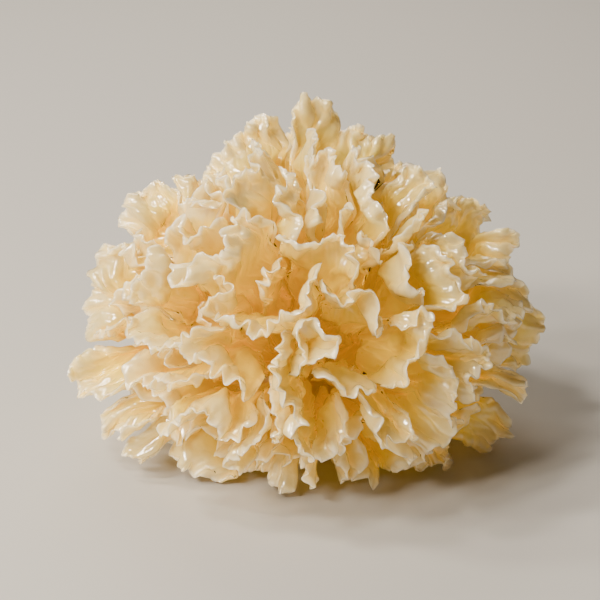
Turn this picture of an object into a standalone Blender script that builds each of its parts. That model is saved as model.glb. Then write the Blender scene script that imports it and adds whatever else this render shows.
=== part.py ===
"""A snow fungus: one ball of thin ruffled fronds that all leave a low, flat-cut base.

Every frond is a thin sheet that rises from the base, leans over and ends in a winding rim. The rims lie
on a dome.
The ones in front are drawn as they are seen from the front, in picture units of the front view.
The ones behind follow rows round the dome that wander up and down together, so that no two meet.
"""

import math

import bmesh
import bpy
from mathutils import Vector

MM = 0.001

# The dome that most rims lie on: an ellipsoid, cut off by the surface that the fungus rests on.
DOME_HALF_WIDTH = 51.7 * MM
DOME_HALF_HEIGHT = 42.5 * MM
DOME_CENTRE = Vector((0.0, 0.0, 30.0 * MM))

# The fronds spread from one point inside the base and sag outwards under their own weight.
SPREAD_POINT = Vector((0.0, 0.0, 12.0 * MM))
SAG = 9.0 * MM
SAG_REACH = 50.0 * MM

# Past this share of the way to its rim a frond leans down over the dome, most where it stands level.
BEND_AT = 0.66
LEAN = 6.0 * MM

BASE_RADIUS = 17.4 * MM
BASE_SIDES = 16
BASE_RINGS = 10
ROOT_GAP = 0.35 * MM
ROOT_RADIUS = BASE_RADIUS + ROOT_GAP
FROND_THICKNESS = 1.15 * MM

# The front view: one picture unit is this wide at the dome's centre, seen from this far and this high.
UNIT = 0.230 * MM
EYE_DISTANCE = 500.0 * MM
EYE_ELEVATION = math.radians(20.0)
PICTURE_CENTRE = (300.0, 300.0)
DOME_CENTRE_SEEN_AT = (306.0, 315.0)

VIEW_RIGHT = Vector((1.0, 0.0, 0.0))
VIEW_UP = Vector((0.0, math.sin(EYE_ELEVATION), math.cos(EYE_ELEVATION)))
VIEW_AHEAD = Vector((0.0, math.cos(EYE_ELEVATION), -math.sin(EYE_ELEVATION)))

CREAM = (0.86, 0.74, 0.54, 1.0)
AMBER = (0.62, 0.40, 0.16, 1.0)

# Rims at the outline: picture x and y, and how many millimetres nearer than the dome's centre they stand.
OUTLINE_RIMS = {
    "crown_peak": [
        (292, 117, 4), (296, 104, 1.5), (301, 96, -0.5), (308, 93, 1), (316, 98, -0.5), (324, 96, 1),
        (331, 101, -0.5), (334, 111, -2.5), (336, 124, -5), (343, 131, -3), (353, 127, -4.5),
        (361, 129, -3), (367, 138, -4.5), (377, 139, -3), (390, 134, -4.5), (394, 141, -7),
        (390, 146, -11),
    ],
    "crown_left": [
        (214, 192, 15), (209, 188, 11), (209, 182, 7), (202, 178, 4.5), (208, 168, 4.5), (209, 160, 2.5),
        (214, 152, 3.5), (222, 151, 5), (227, 144, 3), (234, 142, 4), (244, 134, 1), (248, 124, 3),
        (254, 116, 0), (262, 114, 1.5), (268, 120, 3.5), (275, 115, 1), (282, 114, -0.5),
    ],
    "left_shoulder": [
        (146, 233, 19), (143, 239, 15), (139, 233, 11), (136, 238, 7), (130, 233, 3), (122, 227, 1),
        (119, 218, -1), (124, 211, 1), (126, 203, 2.5), (131, 196, 0.5), (140, 194, -1), (148, 187, 1),
        (155, 182, -0.5), (163, 183, 2), (171, 188, 4.5), (180, 194, 7), (182, 200, 11), (190, 198, 15),
        (193, 204, 19), (201, 203, 23),
    ],
    "left_back_lobe": [
        (166, 187, -15.5), (173, 178, -17), (181, 176, -15), (190, 177, -17), (199, 180, -15.5),
        (206, 186, -12), (214, 182, -8),
    ],
    "left_flank": [
        (130, 243, 15), (124, 249, 11), (119, 243, 7), (110, 245, 4.5), (103, 242, 2), (97, 247, -0.5),
        (92, 257, 1), (95, 267, -0.5), (93, 277, 1), (95, 287, -1), (89, 299, 1), (84, 309, -1),
        (88, 321, 1), (86, 331, -1), (94, 338, 1), (99, 332, 5), (103, 337, 9), (106, 330, 13),
        (110, 335, 17),
    ],
    "left_tongue": [
        (103, 348, -9), (98, 353, -5), (97, 348, -1), (88, 351, 1.5), (80, 353, 4), (72, 362, 4.5),
        (67, 374, 5), (74, 383, 4), (79, 391, 6), (88, 396, 8), (101, 397, 10.5), (106, 391, 13.5),
        (110, 397, 16.5), (116, 391, 19.5), (121, 397, 22.5),
    ],
    "left_low_lobe": [
        (108, 408, 11), (102, 414, 10.5), (97, 422, 9), (99, 430, 11), (99, 437, 9), (108, 440, 10.5),
        (113, 434, 14), (118, 438, 18), (124, 432, 22),
    ],
    "right_ruffle": [
        (391, 166, 18), (397, 174, 20.5), (404, 168, 22.5), (412, 164, 20.5), (421, 168, 22.5),
        (427, 176, 21), (431, 184, 23.5), (425, 194, 26), (421, 204, 28.5),
    ],
    "right_back_lobe": [
        (424, 177, -4), (431, 170, -6.5), (440, 171, -8.5), (448, 179, -7), (447, 190, -9),
    ],
    "right_shoulder": [
        (447, 209, 16), (449, 203, 12), (455, 205, 8), (458, 199, 4), (465, 197, 1.5), (473, 198, -0.5),
        (481, 205, 1), (487, 215, -0.5), (489, 226, 1),
    ],
    "right_hook": [
        (497, 236, 3), (506, 233, 5.5), (515, 231, 8), (518, 242, 6), (513, 251, 8), (511, 261, 6),
        (506, 266, 10), (502, 260, 14), (498, 266, 18),
    ],
    "right_back_ear": [
        (529, 311, -7), (537, 309, -9.5), (544, 317, -11.5), (545, 328, -10), (538, 340, -11.5),
        (531, 344, -13.5), (527, 352, -12), (528, 362, -13.5), (525, 372, -12),
    ],
    "right_tip": [
        (495, 368, 10), (502, 371, 12.5), (511, 376, 15), (522, 379, 17), (531, 384, 19), (531, 394, 17),
        (525, 402, 18.5), (515, 405, 21),
    ],
    "right_skirt": [
        (519, 414, 0), (514, 423, 2.5), (512, 434, 0), (505, 443, 2.5), (496, 444, 0.5), (490, 450, 3),
        (480, 452, 1.5), (469, 450, 3),
    ],
}

# Rims on the front of the dome: how far they stand out from it, as a share, then picture x and y.
FRONT_RIMS = {
    "top_right_ribbon": (0.99, [
        (302, 153), (309, 150), (313, 159), (320, 154), (328, 149), (333, 158), (338, 167), (345, 172),
        (350, 164),
    ]),
    "upper_s_ribbon": (1.03, [
        (284, 160), (284, 171), (293, 173), (291, 182), (281, 187), (277, 197), (285, 205), (295, 208),
        (297, 219),
    ]),
    "upper_left_loop": (1.00, [
        (223, 206), (223, 196), (230, 189), (236, 180), (244, 176), (252, 171), (253, 160), (262, 155),
        (256, 146), (257, 137),
    ]),
    "upper_right_ribbon": (1.01, [
        (359, 139), (354, 149), (357, 160), (367, 160), (375, 168), (371, 179), (376, 190), (375, 200),
        (385, 207), (396, 206),
    ]),
    "upper_middle_ribbon": (0.98, [
        (328, 220), (319, 216), (315, 208), (319, 198), (318, 188), (325, 181), (334, 178),
    ]),
    "middle_arch_ribbon": (1.02, [
        (283, 221), (280, 231), (287, 239), (297, 244), (308, 247), (317, 244), (326, 237), (337, 234),
        (346, 240), (350, 251), (353, 263), (357, 274), (365, 281),
    ]),
    "inner_right_ribbon": (0.95, [
        (366, 221), (364, 232), (372, 239), (377, 248), (382, 257), (391, 255),
    ]),
    "left_long_ribbon": (1.02, [
        (157, 258), (167, 260), (171, 270), (173, 282), (181, 286), (186, 277), (188, 266), (195, 257),
        (205, 255), (217, 257), (224, 249), (226, 238), (230, 228), (232, 217), (241, 214), (251, 214),
        (258, 209), (268, 211),
    ]),
    "left_inner_frill": (1.00, [
        (137, 247), (145, 257), (145, 268), (138, 278), (129, 286), (125, 296), (115, 300),
    ]),
    "left_bowl_rim": (1.01, [
        (117, 313), (126, 318), (127, 329), (130, 340), (138, 349), (149, 350), (158, 345), (168, 345),
        (177, 338),
    ]),
    "left_curl": (1.03, [
        (207, 325), (197, 330), (188, 336), (181, 345), (183, 356), (191, 360), (199, 354), (207, 361),
        (212, 373), (222, 377), (231, 381), (241, 386), (247, 395), (246, 407),
    ]),
    "left_frilled_ribbon": (1.04, [
        (140, 391), (147, 389), (151, 381), (158, 377), (164, 383), (169, 392), (176, 387), (182, 379),
        (190, 375),
    ]),
    "lower_left_ribbon": (1.05, [
        (144, 433), (155, 434), (165, 433), (174, 427), (181, 418), (191, 411), (202, 413), (209, 421),
        (212, 433), (220, 442), (231, 444), (240, 439), (248, 430),
    ]),
    "central_ribbon": (1.06, [
        (216, 309), (227, 313), (238, 316), (245, 325), (250, 335), (259, 336), (266, 327), (276, 320),
        (288, 316), (299, 308), (309, 299), (313, 287), (314, 274), (317, 262), (326, 259),
    ]),
    "central_right_ribbon": (1.06, [
        (326, 274), (330, 285), (331, 297), (337, 307), (345, 301), (354, 293), (366, 292), (376, 298),
        (381, 309), (378, 320), (377, 331), (386, 339), (397, 338),
    ]),
    "right_front_lobe": (1.07, [
        (406, 327), (411, 316), (421, 312), (431, 317), (434, 328), (426, 337), (418, 347), (412, 357),
        (410, 368), (405, 380), (397, 390),
    ]),
    "lower_right_ribbon": (1.08, [
        (386, 395), (377, 393), (367, 391), (358, 395), (349, 398), (341, 391), (335, 383), (325, 383),
        (315, 387),
    ]),
    "central_tongue": (1.08, [
        (313, 374), (317, 364), (327, 358), (335, 349), (335, 338), (327, 331), (320, 323), (310, 321),
        (302, 327), (299, 338), (301, 350), (303, 362), (300, 373), (291, 380),
    ]),
    "front_ribbon": (1.08, [
        (277, 337), (272, 347), (277, 356), (273, 366), (277, 377), (281, 388), (284, 399), (293, 407),
        (299, 417), (297, 428), (293, 438), (299, 449), (307, 458), (302, 468),
    ]),
    "front_low_lobe": (1.02, [
        (357, 430), (348, 434), (344, 444), (335, 451), (328, 458), (322, 467), (313, 470),
    ]),
    "right_low_lobe": (1.05, [
        (373, 406), (375, 416), (380, 426), (378, 436), (385, 442), (395, 441), (404, 440), (413, 441),
        (418, 432), (426, 425),
    ]),
    "right_leaf": (1.02, [
        (427, 353), (437, 356), (446, 362), (452, 371), (455, 381), (455, 392), (452, 403), (454, 414),
        (457, 425), (452, 438), (444, 445), (436, 446), (429, 453), (419, 454),
    ]),
    "right_arch_lobe": (1.03, [
        (438, 335), (447, 330), (457, 332), (465, 339), (474, 343), (483, 344), (489, 353), (487, 364),
        (479, 371), (469, 377), (472, 389), (475, 400), (485, 396), (488, 386),
    ]),
    "right_folded_lobe": (1.02, [
        (436, 298), (427, 291), (416, 287), (407, 281), (406, 270), (410, 260), (405, 250), (412, 241),
        (422, 237),
    ]),
    "right_lobed_edge": (1.02, [
        (433, 235), (440, 245), (441, 255), (450, 262), (451, 273), (460, 281), (463, 292), (456, 302),
        (449, 310),
    ]),
    "right_high_ribbon": (0.98, [
        (450, 219), (456, 229), (462, 239), (467, 249), (465, 260), (473, 268), (483, 274), (494, 277),
    ]),
    "right_side_ribbon": (1.00, [
        (484, 322), (481, 312), (489, 306), (498, 311), (506, 319), (515, 323), (523, 314), (530, 301),
        (528, 289), (523, 279), (515, 283), (507, 285),
    ]),
}

# Rims near the surface that the fungus rests on: picture x and y, and the height in millimetres.
SKIRT_RIMS = {
    "skirt_left": [
        (181, 443, 6.5), (173, 453, 5.0), (170, 461, 3.8), (175, 470, 2.8), (185, 474, 2.2),
        (193, 480, 1.2), (203, 479, 1.6), (211, 480, 1.2), (219, 481, 1.2), (226, 474, 2.6),
    ],
    "skirt_far_left": [
        (117, 446, 9.0), (119, 453, 7.5), (126, 459, 5.5), (135, 459, 5.0), (144, 457, 4.0),
        (154, 457, 4.0),
    ],
    "skirt_front": [
        (238, 470, 3.4), (245, 473, 2.6), (252, 469, 3.6), (258, 466, 4.2), (265, 471, 3.2),
        (268, 481, 2.0), (277, 486, 1.6), (284, 492, 1.2), (294, 494, 1.2), (301, 487, 2.2),
    ],
    "skirt_right": [
        (336, 464, 4.0), (340, 473, 2.4), (348, 479, 1.2), (357, 475, 2.0), (365, 476, 1.8),
        (373, 479, 1.2), (379, 472, 2.4), (387, 468, 3.2), (399, 462, 4.2), (406, 467, 3.0),
        (415, 470, 2.4), (425, 473, 1.6), (433, 467, 2.6), (441, 463, 3.4), (450, 456, 4.4),
        (459, 451, 5.2),
    ],
}

# Rims behind: their row's latitude on the dome, the bearings where they start and end, and their points.
# A bearing is 0 at the front, 90 at the right and 180 behind.
BACK_RIMS = {
    "back_skirt_right": (-36, 100, 176, 23),
    "back_skirt_left": (-36, 184, 260, 23),
    "back_low_right": (-22, 104, 176, 22),
    "back_low_left": (-22, 184, 260, 23),
    "back_middle_right": (-7, 112, 148, 13),
    "back_middle": (-7, 156, 204, 15),
    "back_middle_left": (-7, 212, 262, 17),
    "back_high_right": (9, 99, 168, 22),
    "back_high_left": (9, 178, 249, 21),
    "back_upper_right": (25, 106, 178, 21),
    "back_upper_left": (25, 188, 248, 17),
    "back_crown_right": (42, 132, 174, 14),
    "back_crown_left": (42, 184, 222, 13),
    "back_crown": (60, 136, 226, 17),
}

# In degrees, how far these rims wander up and down, how far they drift sideways, and their crisp steps.
WANDER = 3.0
DRIFT = 4.0
CRISP = 0.6

# The waves of wander and drift that go round the dome, and the degrees between rows a radian out of step.
WANDERS_ROUND = 13.0
WANDER_SHIFT = 14.0
DRIFTS_ROUND = 3.0
DRIFT_SHIFT = 9.0


def clear_scene():
    """Removes whatever the file holds when it is opened."""
    for obj in list(bpy.data.objects):
        bpy.data.objects.remove(obj)


def sight_line(x, y):
    """The eye, and the way it looks through a place in the picture, as far as the dome's centre plane."""
    middle = DOME_CENTRE + UNIT * (
        (PICTURE_CENTRE[0] - DOME_CENTRE_SEEN_AT[0]) * VIEW_RIGHT
        + (DOME_CENTRE_SEEN_AT[1] - PICTURE_CENTRE[1]) * VIEW_UP
    )
    seen = middle + UNIT * ((x - PICTURE_CENTRE[0]) * VIEW_RIGHT + (PICTURE_CENTRE[1] - y) * VIEW_UP)
    eye = middle - EYE_DISTANCE * VIEW_AHEAD
    return eye, seen - eye


def outline_point(x, y, nearer_mm):
    eye, way = sight_line(x, y)
    return eye + way * (1.0 - nearer_mm * MM / EYE_DISTANCE)


def front_point(x, y, lift):
    """Where the line of sight meets the dome, or passes nearest to its centre."""
    eye, way = sight_line(x, y)
    radii = lift * Vector((DOME_HALF_WIDTH, DOME_HALF_WIDTH, DOME_HALF_HEIGHT))
    start = Vector([a / r for a, r in zip(eye - DOME_CENTRE, radii)])
    slope = Vector([a / r for a, r in zip(way, radii)])
    nearest = -start.dot(slope) / slope.length_squared
    inside = nearest ** 2 - (start.length_squared - 1.0) / slope.length_squared
    return eye + way * (nearest - math.sqrt(max(inside, 0.0)))


def skirt_point(x, y, height_mm):
    eye, way = sight_line(x, y)
    return eye + way * ((height_mm * MM - eye.z) / way.z)


def back_point(bearing, row, crisp):
    """A place on the dome, moved by the wander and drift that all back rims share and by its crisp step."""
    turn = math.radians(bearing)
    narrowing = math.cos(math.radians(row))
    wander = WANDER * narrowing * math.sin(WANDERS_ROUND * turn + row / WANDER_SHIFT)
    latitude = math.radians(row + wander + crisp)
    turn += math.radians(DRIFT) * math.sin(DRIFTS_ROUND * turn + row / DRIFT_SHIFT)
    return DOME_CENTRE + Vector((
        DOME_HALF_WIDTH * math.cos(latitude) * math.sin(turn),
        -DOME_HALF_WIDTH * math.cos(latitude) * math.cos(turn),
        DOME_HALF_HEIGHT * math.sin(latitude),
    ))


def back_rim(row, first, last, count):
    """A row's points, which step up and down by turns as a crisp edge does."""
    step = (last - first) / (count - 1)
    return [back_point(first + step * i, row, CRISP * (-1) ** i) for i in range(count)]


def all_rims():
    """The rim of every frond, as points in the order that the rim runs."""
    rims = {name: [outline_point(*p) for p in points] for name, points in OUTLINE_RIMS.items()}
    for name, (lift, points) in FRONT_RIMS.items():
        rims[name] = [front_point(x, y, lift) for x, y in points]
    for name, points in SKIRT_RIMS.items():
        rims[name] = [skirt_point(*p) for p in points]
    for name, row in BACK_RIMS.items():
        rims[name] = back_rim(*row)
    return rims


def sagged(point, amount=1.0):
    """The point lowered as the fronds sag, more the further out it is. Minus one raises it again."""
    out = math.hypot(point.x, point.y) / SAG_REACH
    return point - Vector((0.0, 0.0, amount * SAG * out ** 2))


def upright(reach):
    """Where a frond that reaches so far would end if it didn't lean down."""
    way = reach.normalized()
    return reach + LEAN * (Vector((0.0, 0.0, 1.0)) - way * way.z)


def frond_row(rim, step):
    """The line of points that lies a share of the way from the base, 0, to the rim, 1, and their reaches.

    Below the rim itself the line is drawn as if the frond stood upright, so the last stretch leans down.
    """
    points = []
    shares = []
    for place in rim:
        reach = sagged(place, -1.0) - SPREAD_POINT
        if step < 1.0:
            reach = upright(reach)
        root = ROOT_RADIUS / reach.length
        share = root + (1.0 - root) * step
        points.append(sagged(SPREAD_POINT + reach * share))
        shares.append(share)
    return points, shares


def add_frond(name, rim, material, collection):
    """One ruffled sheet: its rim's line is extruded inwards to the base, and given a thickness."""
    mesh = bpy.data.meshes.new(name)
    obj = bpy.data.objects.new(name, mesh)
    collection.objects.link(obj)
    bm = bmesh.new()
    widths = []
    line = []
    for place, share in zip(*frond_row(rim, 1.0)):
        line.append(bm.verts.new(place))
        widths.append(share)
    edges = [bm.edges.new(pair) for pair in zip(line, line[1:])]
    for step in (BEND_AT, 0.0):
        grown = bmesh.ops.extrude_edge_only(bm, edges=edges)["geom"]
        edges = [part for part in grown if isinstance(part, bmesh.types.BMEdge)]
        line = [part for part in grown if isinstance(part, bmesh.types.BMVert)]
        points, shares = frond_row(rim, step)
        for vert, place, share in zip(line, points, shares):
            vert.co = place
            widths.append(share)
        edges = [edge for edge in edges if set(edge.verts) <= set(line)]
    bm.to_mesh(mesh)
    bm.free()
    group = obj.vertex_groups.new(name="width")
    for index, share in enumerate(widths):
        group.add([index], share, "REPLACE")
    solidify = obj.modifiers.new("thickness", "SOLIDIFY")
    solidify.thickness = FROND_THICKNESS
    solidify.offset = 0.0
    solidify.use_even_offset = False
    solidify.vertex_group = group.name
    mesh.shade_smooth()
    mesh.materials.append(material)


def add_base(material, collection):
    """The firm foot: a ball round the spread point, sagging as the fronds do, cut off flat where it rests."""
    mesh = bpy.data.meshes.new("base")
    obj = bpy.data.objects.new("base", mesh)
    collection.objects.link(obj)
    bm = bmesh.new()
    bmesh.ops.create_uvsphere(bm, u_segments=BASE_SIDES, v_segments=BASE_RINGS, radius=BASE_RADIUS)
    for vert in bm.verts:
        vert.co = sagged(SPREAD_POINT + vert.co)
    whole = bm.verts[:] + bm.edges[:] + bm.faces[:]
    cut = bmesh.ops.bisect_plane(bm, geom=whole, plane_co=(0, 0, 0), plane_no=(0, 0, -1), clear_outer=True)
    ring = [part for part in cut["geom_cut"] if isinstance(part, bmesh.types.BMEdge)]
    bmesh.ops.contextual_create(bm, geom=ring)
    bm.to_mesh(mesh)
    bm.free()
    mesh.shade_smooth()
    mesh.materials.append(material)


def make_material(name, colour, roughness):
    material = bpy.data.materials.new(name)
    material.use_nodes = True
    shader = material.node_tree.nodes["Principled BSDF"]
    shader.inputs["Base Color"].default_value = colour
    shader.inputs["Roughness"].default_value = roughness
    shader.inputs["Metallic"].default_value = 0.0
    return material


def main():
    clear_scene()
    collection = bpy.data.collections.new("snow_fungus")
    bpy.context.scene.collection.children.link(collection)
    flesh = make_material("flesh", CREAM, 0.35)
    foot = make_material("foot", AMBER, 0.6)
    add_base(foot, collection)
    for name, rim in all_rims().items():
        add_frond(f"frond_{name}", rim, flesh, collection)


main()
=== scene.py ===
"""The looks of a snow fungus: thin, wet, translucent fronds with ruffled rims, in a pale studio.

Every frond of the frame is made again here, along the same rim, as a thin sheet that rises from the base,
waves more and more towards its rim and curls over there. Small frills fill the room between the fronds.
"""

from __future__ import annotations

import logging
import math
from dataclasses import dataclass, field
from enum import Enum

import bpy
import numpy as np
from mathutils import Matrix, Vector, kdtree


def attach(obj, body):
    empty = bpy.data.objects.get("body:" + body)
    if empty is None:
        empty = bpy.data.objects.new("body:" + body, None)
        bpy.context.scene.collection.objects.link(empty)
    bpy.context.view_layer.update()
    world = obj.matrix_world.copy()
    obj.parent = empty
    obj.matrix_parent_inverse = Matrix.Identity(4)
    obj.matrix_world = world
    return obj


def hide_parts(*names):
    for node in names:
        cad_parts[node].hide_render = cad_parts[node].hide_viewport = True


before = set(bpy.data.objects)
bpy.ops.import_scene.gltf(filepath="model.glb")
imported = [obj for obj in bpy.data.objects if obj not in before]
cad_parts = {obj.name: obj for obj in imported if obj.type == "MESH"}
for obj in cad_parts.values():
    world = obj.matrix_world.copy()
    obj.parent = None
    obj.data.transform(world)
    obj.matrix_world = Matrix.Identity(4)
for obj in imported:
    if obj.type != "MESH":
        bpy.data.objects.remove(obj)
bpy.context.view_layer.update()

MM = 0.001
BODY = "root"
LOG = logging.getLogger("snow_fungus")

Colour = tuple[float, float, float]
Stops = tuple[tuple[float, Colour], ...]

# Rims at the outline: picture x and y, and how many millimetres nearer than the dome's centre they stand.
OUTLINE_RIMS = {
    "crown_peak": [
        (292, 117, 4), (296, 104, 1.5), (301, 96, -0.5), (308, 93, 1), (316, 98, -0.5), (324, 96, 1),
        (331, 101, -0.5), (334, 111, -2.5), (336, 124, -5), (343, 131, -3), (353, 127, -4.5),
        (361, 129, -3), (367, 138, -4.5), (377, 139, -3), (390, 134, -4.5), (394, 141, -7),
        (390, 146, -11),
    ],
    "crown_left": [
        (214, 192, 15), (209, 188, 11), (209, 182, 7), (202, 178, 4.5), (208, 168, 4.5), (209, 160, 2.5),
        (214, 152, 3.5), (222, 151, 5), (227, 144, 3), (234, 142, 4), (244, 134, 1), (248, 124, 3),
        (254, 116, 0), (262, 114, 1.5), (268, 120, 3.5), (275, 115, 1), (282, 114, -0.5),
    ],
    "left_shoulder": [
        (146, 233, 19), (143, 239, 15), (139, 233, 11), (136, 238, 7), (130, 233, 3), (122, 227, 1),
        (119, 218, -1), (124, 211, 1), (126, 203, 2.5), (131, 196, 0.5), (140, 194, -1), (148, 187, 1),
        (155, 182, -0.5), (163, 183, 2), (171, 188, 4.5), (180, 194, 7), (182, 200, 11), (190, 198, 15),
        (193, 204, 19), (201, 203, 23),
    ],
    "left_back_lobe": [
        (166, 187, -15.5), (173, 178, -17), (181, 176, -15), (190, 177, -17), (199, 180, -15.5),
        (206, 186, -12), (214, 182, -8),
    ],
    "left_flank": [
        (130, 243, 15), (124, 249, 11), (119, 243, 7), (110, 245, 4.5), (103, 242, 2), (97, 247, -0.5),
        (92, 257, 1), (95, 267, -0.5), (93, 277, 1), (95, 287, -1), (89, 299, 1), (84, 309, -1),
        (88, 321, 1), (86, 331, -1), (94, 338, 1), (99, 332, 5), (103, 337, 9), (106, 330, 13),
        (110, 335, 17),
    ],
    "left_tongue": [
        (103, 348, -9), (98, 353, -5), (97, 348, -1), (88, 351, 1.5), (80, 353, 4), (72, 362, 4.5),
        (67, 374, 5), (74, 383, 4), (79, 391, 6), (88, 396, 8), (101, 397, 10.5), (106, 391, 13.5),
        (110, 397, 16.5), (116, 391, 19.5), (121, 397, 22.5),
    ],
    "left_low_lobe": [
        (108, 408, 11), (102, 414, 10.5), (97, 422, 9), (99, 430, 11), (99, 437, 9), (108, 440, 10.5),
        (113, 434, 14), (118, 438, 18), (124, 432, 22),
    ],
    "right_ruffle": [
        (391, 166, 18), (397, 174, 20.5), (404, 168, 22.5), (412, 164, 20.5), (421, 168, 22.5),
        (427, 176, 21), (431, 184, 23.5), (425, 194, 26), (421, 204, 28.5),
    ],
    "right_back_lobe": [
        (424, 177, -4), (431, 170, -6.5), (440, 171, -8.5), (448, 179, -7), (447, 190, -9),
    ],
    "right_shoulder": [
        (447, 209, 16), (449, 203, 12), (455, 205, 8), (458, 199, 4), (465, 197, 1.5), (473, 198, -0.5),
        (481, 205, 1), (487, 215, -0.5), (489, 226, 1),
    ],
    "right_hook": [
        (497, 236, 3), (506, 233, 5.5), (515, 231, 8), (518, 242, 6), (513, 251, 8), (511, 261, 6),
        (506, 266, 10), (502, 260, 14), (498, 266, 18),
    ],
    "right_back_ear": [
        (529, 311, -7), (537, 309, -9.5), (544, 317, -11.5), (545, 328, -10), (538, 340, -11.5),
        (531, 344, -13.5), (527, 352, -12), (528, 362, -13.5), (525, 372, -12),
    ],
    "right_tip": [
        (495, 368, 10), (502, 371, 12.5), (511, 376, 15), (522, 379, 17), (531, 384, 19), (531, 394, 17),
        (525, 402, 18.5), (515, 405, 21),
    ],
    "right_skirt": [
        (519, 414, 0), (514, 423, 2.5), (512, 434, 0), (505, 443, 2.5), (496, 444, 0.5), (490, 450, 3),
        (480, 452, 1.5), (469, 450, 3),
    ],
}

# Rims on the front of the dome: how far they stand out from it, as a share, then picture x and y.
FRONT_RIMS = {
    "top_right_ribbon": (0.99, [
        (302, 153), (309, 150), (313, 159), (320, 154), (328, 149), (333, 158), (338, 167), (345, 172),
        (350, 164),
    ]),
    "upper_s_ribbon": (1.03, [
        (284, 160), (284, 171), (293, 173), (291, 182), (281, 187), (277, 197), (285, 205), (295, 208),
        (297, 219),
    ]),
    "upper_left_loop": (1.00, [
        (223, 206), (223, 196), (230, 189), (236, 180), (244, 176), (252, 171), (253, 160), (262, 155),
        (256, 146), (257, 137),
    ]),
    "upper_right_ribbon": (1.01, [
        (359, 139), (354, 149), (357, 160), (367, 160), (375, 168), (371, 179), (376, 190), (375, 200),
        (385, 207), (396, 206),
    ]),
    "upper_middle_ribbon": (0.98, [
        (328, 220), (319, 216), (315, 208), (319, 198), (318, 188), (325, 181), (334, 178),
    ]),
    "middle_arch_ribbon": (1.02, [
        (283, 221), (280, 231), (287, 239), (297, 244), (308, 247), (317, 244), (326, 237), (337, 234),
        (346, 240), (350, 251), (353, 263), (357, 274), (365, 281),
    ]),
    "inner_right_ribbon": (0.95, [
        (366, 221), (364, 232), (372, 239), (377, 248), (382, 257), (391, 255),
    ]),
    "left_long_ribbon": (1.02, [
        (157, 258), (167, 260), (171, 270), (173, 282), (181, 286), (186, 277), (188, 266), (195, 257),
        (205, 255), (217, 257), (224, 249), (226, 238), (230, 228), (232, 217), (241, 214), (251, 214),
        (258, 209), (268, 211),
    ]),
    "left_inner_frill": (1.00, [
        (137, 247), (145, 257), (145, 268), (138, 278), (129, 286), (125, 296), (115, 300),
    ]),
    "left_bowl_rim": (1.01, [
        (117, 313), (126, 318), (127, 329), (130, 340), (138, 349), (149, 350), (158, 345), (168, 345),
        (177, 338),
    ]),
    "left_curl": (1.03, [
        (207, 325), (197, 330), (188, 336), (181, 345), (183, 356), (191, 360), (199, 354), (207, 361),
        (212, 373), (222, 377), (231, 381), (241, 386), (247, 395), (246, 407),
    ]),
    "left_frilled_ribbon": (1.04, [
        (140, 391), (147, 389), (151, 381), (158, 377), (164, 383), (169, 392), (176, 387), (182, 379),
        (190, 375),
    ]),
    "lower_left_ribbon": (1.05, [
        (144, 433), (155, 434), (165, 433), (174, 427), (181, 418), (191, 411), (202, 413), (209, 421),
        (212, 433), (220, 442), (231, 444), (240, 439), (248, 430),
    ]),
    "central_ribbon": (1.06, [
        (216, 309), (227, 313), (238, 316), (245, 325), (250, 335), (259, 336), (266, 327), (276, 320),
        (288, 316), (299, 308), (309, 299), (313, 287), (314, 274), (317, 262), (326, 259),
    ]),
    "central_right_ribbon": (1.06, [
        (326, 274), (330, 285), (331, 297), (337, 307), (345, 301), (354, 293), (366, 292), (376, 298),
        (381, 309), (378, 320), (377, 331), (386, 339), (397, 338),
    ]),
    "right_front_lobe": (1.07, [
        (406, 327), (411, 316), (421, 312), (431, 317), (434, 328), (426, 337), (418, 347), (412, 357),
        (410, 368), (405, 380), (397, 390),
    ]),
    "lower_right_ribbon": (1.08, [
        (386, 395), (377, 393), (367, 391), (358, 395), (349, 398), (341, 391), (335, 383), (325, 383),
        (315, 387),
    ]),
    "central_tongue": (1.08, [
        (313, 374), (317, 364), (327, 358), (335, 349), (335, 338), (327, 331), (320, 323), (310, 321),
        (302, 327), (299, 338), (301, 350), (303, 362), (300, 373), (291, 380),
    ]),
    "front_ribbon": (1.08, [
        (277, 337), (272, 347), (277, 356), (273, 366), (277, 377), (281, 388), (284, 399), (293, 407),
        (299, 417), (297, 428), (293, 438), (299, 449), (307, 458), (302, 468),
    ]),
    "front_low_lobe": (1.02, [
        (357, 430), (348, 434), (344, 444), (335, 451), (328, 458), (322, 467), (313, 470),
    ]),
    "right_low_lobe": (1.05, [
        (373, 406), (375, 416), (380, 426), (378, 436), (385, 442), (395, 441), (404, 440), (413, 441),
        (418, 432), (426, 425),
    ]),
    "right_leaf": (1.02, [
        (427, 353), (437, 356), (446, 362), (452, 371), (455, 381), (455, 392), (452, 403), (454, 414),
        (457, 425), (452, 438), (444, 445), (436, 446), (429, 453), (419, 454),
    ]),
    "right_arch_lobe": (1.03, [
        (438, 335), (447, 330), (457, 332), (465, 339), (474, 343), (483, 344), (489, 353), (487, 364),
        (479, 371), (469, 377), (472, 389), (475, 400), (485, 396), (488, 386),
    ]),
    "right_folded_lobe": (1.02, [
        (436, 298), (427, 291), (416, 287), (407, 281), (406, 270), (410, 260), (405, 250), (412, 241),
        (422, 237),
    ]),
    "right_lobed_edge": (1.02, [
        (433, 235), (440, 245), (441, 255), (450, 262), (451, 273), (460, 281), (463, 292), (456, 302),
        (449, 310),
    ]),
    "right_high_ribbon": (0.98, [
        (450, 219), (456, 229), (462, 239), (467, 249), (465, 260), (473, 268), (483, 274), (494, 277),
    ]),
    "right_side_ribbon": (1.00, [
        (484, 322), (481, 312), (489, 306), (498, 311), (506, 319), (515, 323), (523, 314), (530, 301),
        (528, 289), (523, 279), (515, 283), (507, 285),
    ]),
}

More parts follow.
